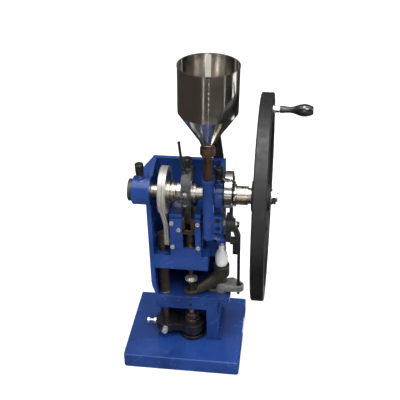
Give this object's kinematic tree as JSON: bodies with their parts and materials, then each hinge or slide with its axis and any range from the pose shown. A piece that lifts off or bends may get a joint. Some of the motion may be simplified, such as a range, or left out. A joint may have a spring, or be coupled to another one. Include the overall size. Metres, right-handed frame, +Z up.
{
  "type": "tablet press",
  "caption": "Hand-cranked single-punch tablet press with a spoked flywheel, eccentric punch drive, feed shoe and funnel hopper on a flat base.",
  "frame": {"origin": "centre of the base plate underside", "axes": "+Z up, +X along the crankshaft to the flywheel, +Y to the back"},
  "size_m": [0.398, 0.43, 0.731],
  "materials": {
    "blue_paint": "gloss",
    "black_paint": "gloss",
    "wheel_paint": "satin",
    "polished_steel": "polished",
    "bright_steel": "bright",
    "brown_steel": "machined",
    "cast_grey": "rough",
    "dark_iron": "satin",
    "dark_bronze": "dark cast",
    "bronze": "machined",
    "strap_grey": "satin",
    "black_plastic": "gloss",
    "white_plastic": "satin",
    "hopper_steel": "polished",
    "tool_steel": "ground"
  },
  "bodies": {
    "frame": {"base_plate": "blue_paint", "socket_screws": "black_paint", "pedestal": "blue_paint", "die_table": "blue_paint", "column": "blue_paint", "frame_bolts": "polished_steel", "die": "tool_steel", "bearing_bushes": "strap_grey", "oil_cup_bodies": "bright_steel", "keeper_plates": "blue_paint", "keeper_screws": "polished_steel", "plunger_bush": "bronze", "rod_sleeve": "brown_steel", "lower_guide_cup": "black_paint", "feed_post": "blue_paint", "hopper_stay": "black_paint", "rocker_stud": "polished_steel", "shoe_pin": "polished_steel"},
    "crankshaft": {"main_shaft": "bright_steel", "lifting_sheave": "strap_grey", "shaft_sleeves": "bright_steel", "shaft_collar": "polished_steel", "eccentric_sheave": "bright_steel", "feed_cam": "polished_steel", "flywheel": "wheel_paint", "flywheel_key": "bright_steel", "flywheel_nut": "polished_steel", "handle_spindle": "polished_steel", "set_screws": "black_paint"},
    "crank_grip": {"handle_grip": "black_plastic"},
    "pressing_strap": {"strap_lower": "strap_grey", "strap_cap": "strap_grey", "strap_bolts": "bright_steel", "strap_oil_cup": "black_plastic", "crosshead_pin": "bright_steel"},
    "locking_lever": {"lock_lever": "black_paint"},
    "dowel": {"end_dowel": "bright_steel"},
    "punch_slide": {"plunger": "brown_steel", "punch_nut": "polished_steel", "upper_punch": "brown_steel"},
    "lifting_strap": {"lifting_link": "polished_steel", "link_pin": "bright_steel"},
    "plug": {"gallery_plug": "bronze"},
    "ejector": {"lifting_rod": "brown_steel", "lifting_arm": "black_paint", "arm_bolts": "polished_steel", "lower_stem": "brown_steel", "regulator_nuts": "brown_steel", "lower_punch": "tool_steel"},
    "rocker": {"rocker_arm": "dark_iron", "rocker_rod": "black_paint"},
    "roller": {"cam_roller": "polished_steel"},
    "shoe": {"feed_shoe": "dark_bronze", "feed_lever": "cast_grey", "funnel_cup": "white_plastic"},
    "feed_hopper": {"hopper": "hopper_steel", "hopper_cone": "hopper_steel", "hopper_collar": "brown_steel"},
    "left_cap": {"left_oil_cup_cap": "black_plastic"},
    "right_cap": {"right_oil_cup_cap": "black_plastic"}
  },
  "joints": [
    {"name": "shaft_spin", "type": "hinge", "parent": "frame", "child": "crankshaft", "pos_m": [0, -0.023, 0.432], "axis": [1, 0, 0], "continuous": true},
    {"name": "grip_spin", "type": "hinge", "parent": "crankshaft", "child": "crank_grip", "pos_m": [0.23, -0.023, 0.632], "axis": [1, 0, 0], "continuous": true},
    {"name": "pressing_strap_turn", "type": "hinge", "parent": "crankshaft", "child": "pressing_strap", "pos_m": [0.017, -0.023, 0.446], "axis": [1, 0, 0], "continuous": true},
    {"name": "lock_lever_turn", "type": "hinge", "parent": "pressing_strap", "child": "locking_lever", "pos_m": [0.0115, -0.039, 0.5], "axis": [0, 0, 1], "range_deg": [-30, 30]},
    {"name": "dowel_turn", "type": "hinge", "parent": "crankshaft", "child": "dowel", "pos_m": [-0.108, -0.023, 0.439], "axis": [1, 0, 0], "continuous": true},
    {"name": "punch_travel", "type": "hinge", "parent": "dowel", "child": "punch_slide", "pos_m": [0.017, -0.023, 0.446], "axis": [1, 0, 0], "continuous": true},
    {"name": "lifting_strap_turn", "type": "hinge", "parent": "crankshaft", "child": "lifting_strap", "pos_m": [-0.033, -0.023, 0.4365], "axis": [1, 0, 0], "continuous": true},
    {"name": "plug_turn", "type": "hinge", "parent": "crankshaft", "child": "plug", "pos_m": [-0.108, -0.023, 0.43425], "axis": [1, 0, 0], "continuous": true},
    {"name": "ejector_travel", "type": "hinge", "parent": "plug", "child": "ejector", "pos_m": [-0.044, -0.023, 0.4365], "axis": [1, 0, 0], "continuous": true},
    {"name": "shoe_swing", "type": "hinge", "parent": "frame", "child": "shoe", "pos_m": [0.085, -0.008, 0.2], "axis": [0, 0, 1], "range_deg": [-22.9, 0]},
    {"name": "rocker_tilt", "type": "hinge", "parent": "frame", "child": "rocker", "pos_m": [0.1, -0.008, 0.348], "axis": [1, 0, 0], "range_deg": [-5.2, 0]},
    {"name": "roller_spin", "type": "hinge", "parent": "rocker", "child": "roller", "pos_m": [0.1, 0.044, 0.424], "axis": [1, 0, 0], "continuous": true},
    {"name": "hopper_lift", "type": "slide", "parent": "frame", "child": "feed_hopper", "axis": [0, 0, 1], "range_m": [0, 0.11]},
    {"name": "left_cap_turn", "type": "hinge", "parent": "frame", "child": "left_cap", "pos_m": [-0.085, -0.023, 0.48], "axis": [0, 0, 1], "continuous": true},
    {"name": "right_cap_turn", "type": "hinge", "parent": "frame", "child": "right_cap", "pos_m": [0.082, -0.023, 0.48], "axis": [0, 0, 1], "continuous": true}
  ],
  "couplings": [
    {"joint": "pressing_strap_turn", "follows": "shaft_spin", "ratio": -1},
    {"joint": "dowel_turn", "follows": "shaft_spin", "ratio": -2},
    {"joint": "punch_travel", "follows": "shaft_spin", "ratio": 1},
    {"joint": "lifting_strap_turn", "follows": "shaft_spin", "ratio": -1},
    {"joint": "plug_turn", "follows": "shaft_spin", "ratio": -2},
    {"joint": "ejector_travel", "follows": "shaft_spin", "ratio": 1},
    {"joint": "rocker_tilt", "follows": "shoe_swing", "ratio": 0.225}
  ]
}
